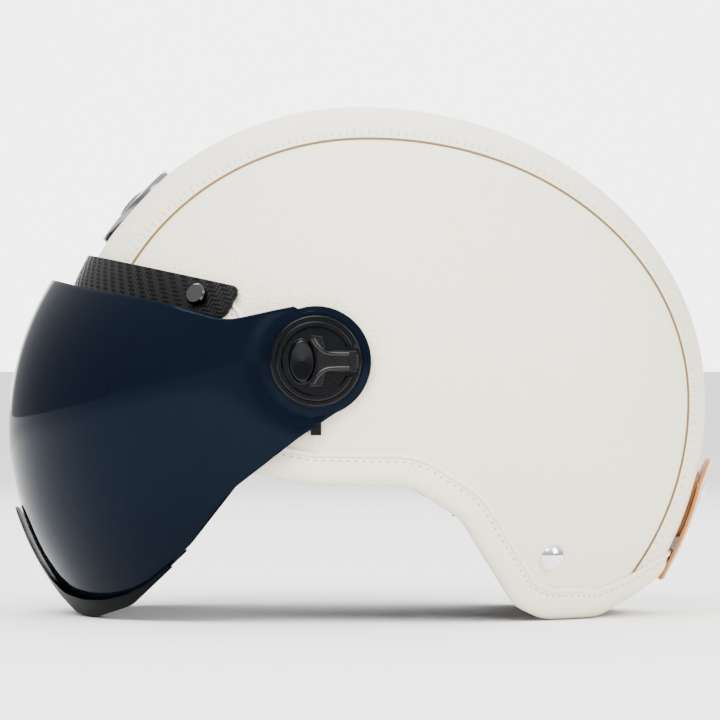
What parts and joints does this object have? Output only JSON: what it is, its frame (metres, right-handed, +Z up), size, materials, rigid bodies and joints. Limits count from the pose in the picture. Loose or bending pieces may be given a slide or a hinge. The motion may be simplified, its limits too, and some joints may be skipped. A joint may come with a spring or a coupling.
{
  "type": "open face motorcycle helmet",
  "caption": "Leather-covered open face helmet with a hinged bubble visor, padded lining and a ratchet chin strap.",
  "frame": {"origin": "on the resting surface, under the middle of the helmet's box", "axes": "-Y towards the front, +X towards the wearer's left, +Z up"},
  "size_m": [0.2458, 0.3066, 0.2217],
  "materials": {
    "ivory_leather": "pebbled, semi-matt",
    "brown_piping": "matt",
    "shell_plastic": "moulded",
    "impact_foam": "moulded bead foam",
    "lining_fabric": "brushed knit",
    "woven_carbon": "twill weave under gloss",
    "polished_chrome": "polished",
    "smoke_lens": "polished, dark smoke",
    "gloss_black": "gloss",
    "pivot_black": "satin",
    "steel": "zinc plated",
    "webbing": "ribbed weave",
    "buckle_plastic": "satin",
    "red_plastic": "satin",
    "tan_leather": "smooth, waxed"
  },
  "bodies": {
    "helmet": {"centre_panel": "ivory_leather", "side_panel_left": "ivory_leather", "side_panel_right": "ivory_leather", "edge_trim": "ivory_leather", "seam_piping_left": "brown_piping", "seam_piping_right": "brown_piping", "outer_shell": "shell_plastic", "foam_liner": "impact_foam", "crown_lining": "lining_fabric", "brow_pad": "lining_fabric", "neck_pad": "lining_fabric", "side_pad_left": "lining_fabric", "side_pad_right": "lining_fabric", "chin_pad": "lining_fabric", "brim_strip": "woven_carbon", "brim_rivets": "polished_chrome", "anchor_rivet_left": "polished_chrome", "anchor_rivet_right": "polished_chrome", "badge": "polished_chrome", "snap_stud": "polished_chrome", "pivot_base_left": "pivot_black", "pivot_base_right": "pivot_black", "pivot_cover_left": "pivot_black", "pivot_cover_right": "pivot_black", "release_spring_left": "steel", "release_spring_right": "steel", "pivot_screw_left": "steel", "pivot_screw_right": "steel", "t_nut_left": "steel", "t_nut_right": "steel", "strap_hanger_left": "steel", "strap_hanger_right": "steel", "pawl_pin": "steel", "strap_left": "webbing", "strap_right": "webbing", "buckle_housing": "buckle_plastic", "strap_adjuster": "buckle_plastic", "tab_patch": "tan_leather"},
    "visor": {"visor_lens": "smoke_lens", "chin_trim": "gloss_black"},
    "release_left": {"release_lever_left": "pivot_black"},
    "release_right": {"release_lever_right": "pivot_black"},
    "tab": {"goggle_tab": "tan_leather", "snap_cap": "polished_chrome"},
    "pawl": {"pawl_lever": "red_plastic"},
    "tongue": {"buckle_tongue": "buckle_plastic"}
  },
  "joints": [
    {"name": "visor_flip", "type": "hinge", "parent": "helmet", "child": "visor", "pos_m": [0, -0.0172, 0.1103], "axis": [-1, 0, 0], "range_deg": [0, 65]},
    {"name": "tab_fold", "type": "hinge", "parent": "helmet", "child": "tab", "pos_m": [0, 0.13275, 0.015], "axis": [-1, 0, 0], "range_deg": [0, 75]},
    {"name": "pawl_lift", "type": "hinge", "parent": "helmet", "child": "pawl", "pos_m": [0.0385, 0.0535, 0.05], "axis": [0, 0, 1], "range_deg": [0, 35], "stiffness_Nm_per_rad": 0.05},
    {"name": "tongue_slide", "type": "slide", "parent": "helmet", "child": "tongue", "axis": [-1, 0, 0], "range_m": [0, 0.028], "deforming": ["strap_right"]},
    {"name": "release_slide_left", "type": "slide", "parent": "helmet", "child": "release_left", "axis": [0, 1, 0], "range_m": [0, 0.0025], "stiffness_N_per_m": 400, "deforming": ["release_spring_left"]},
    {"name": "release_slide_right", "type": "slide", "parent": "helmet", "child": "release_right", "axis": [0, 1, 0], "range_m": [0, 0.0025], "stiffness_N_per_m": 400, "deforming": ["release_spring_right"]}
  ]
}
